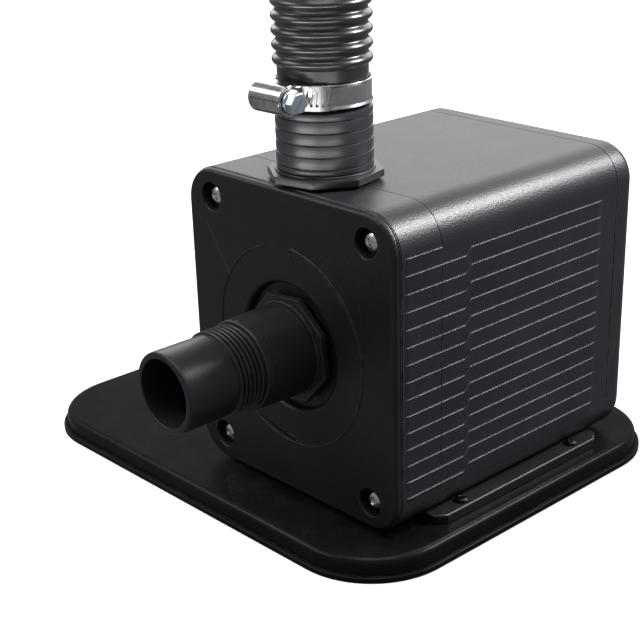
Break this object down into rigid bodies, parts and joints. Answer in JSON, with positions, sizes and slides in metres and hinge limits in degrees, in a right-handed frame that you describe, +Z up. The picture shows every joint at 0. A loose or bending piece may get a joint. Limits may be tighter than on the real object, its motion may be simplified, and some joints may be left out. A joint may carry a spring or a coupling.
{
  "type": "fountain submersible pump",
  "caption": "Box-shaped magnetic-drive water pump on a flat base plate, with stepped hose tails, a clamped corrugated hose connector and ribbed sides.",
  "frame": {"origin": "centre of the base plate's underside, on the floor", "axes": "+Z up; the suction tail points along -Y and the rear cover faces +Y; the pump stands towards +X on the plate; +X is the pump's right side seen from the front"},
  "size_m": [0.228, 0.2253, 0.2246],
  "materials": {
    "pump_plastic": "black injection-moulded ABS, fine matte texture, softly worn edges",
    "plate_plastic": "black injection-moulded polypropylene, satin",
    "hose_plastic": "black flexible PVC, smooth and slightly glossy",
    "seal_rubber": "black moulded rubber",
    "clamp_steel": "rolled stainless strip, bright",
    "zinc_steel": "zinc-plated steel, slightly blue",
    "white_nylon": "natural white nylon",
    "white_ceramic": "ground white ceramic",
    "grey_ferrite": "sintered dark grey ferrite",
    "core_steel": "stacked electrical steel sheets",
    "copper_wire": "enamelled copper winding",
    "potting": "cast black epoxy"
  },
  "bodies": {
    "pump": {"base_plate": "plate_plastic", "mounting_rail_left": "plate_plastic", "mounting_rail_right": "plate_plastic", "rail_screw_1": "zinc_steel", "rail_screw_2": "zinc_steel", "rail_screw_3": "zinc_steel", "rail_screw_4": "zinc_steel", "front_panel": "pump_plastic", "front_shell": "pump_plastic", "mid_shell": "pump_plastic", "rear_cover": "pump_plastic", "panel_screw_1": "zinc_steel", "panel_screw_2": "zinc_steel", "panel_screw_3": "zinc_steel", "panel_screw_4": "zinc_steel", "cover_screw_1": "zinc_steel", "cover_screw_2": "zinc_steel", "cover_screw_3": "zinc_steel", "cover_screw_4": "zinc_steel", "inlet_tail": "pump_plastic", "inlet_seal": "seal_rubber", "outlet_tail": "pump_plastic", "outlet_seal": "seal_rubber", "outlet_hose": "hose_plastic", "clamp_band": "clamp_steel", "clamp_housing": "clamp_steel", "casing_front": "pump_plastic", "casing_can": "pump_plastic", "casing_seal": "seal_rubber", "casing_screw_1": "zinc_steel", "casing_screw_2": "zinc_steel", "casing_screw_3": "zinc_steel", "casing_screw_4": "zinc_steel", "pump_shaft": "white_ceramic", "front_bush": "seal_rubber", "rear_bush": "seal_rubber", "motor_case": "pump_plastic", "stator_core": "core_steel", "bobbin_left": "white_nylon", "bobbin_right": "white_nylon", "coil_left": "copper_wire", "coil_right": "copper_wire", "potting_resin": "potting", "terminal_block": "white_nylon", "gland_body": "pump_plastic", "gland_nut": "pump_plastic", "gland_seal": "seal_rubber", "gland_locknut": "pump_plastic"},
    "rotor": {"impeller": "white_nylon", "rotor_magnet": "grey_ferrite"},
    "clamp_worm": {"clamp_screw": "zinc_steel"}
  },
  "joints": [
    {"name": "rotor_spin", "type": "hinge", "parent": "pump", "child": "rotor", "pos_m": [0.043, -0.019, 0.075], "axis": [0, 1, 0], "continuous": true},
    {"name": "clamp_screw_turn", "type": "hinge", "parent": "pump", "child": "clamp_worm", "pos_m": [0.04342, -0.0712, 0.1735], "axis": [0.9998, 0.0175, 0], "continuous": true}
  ]
}
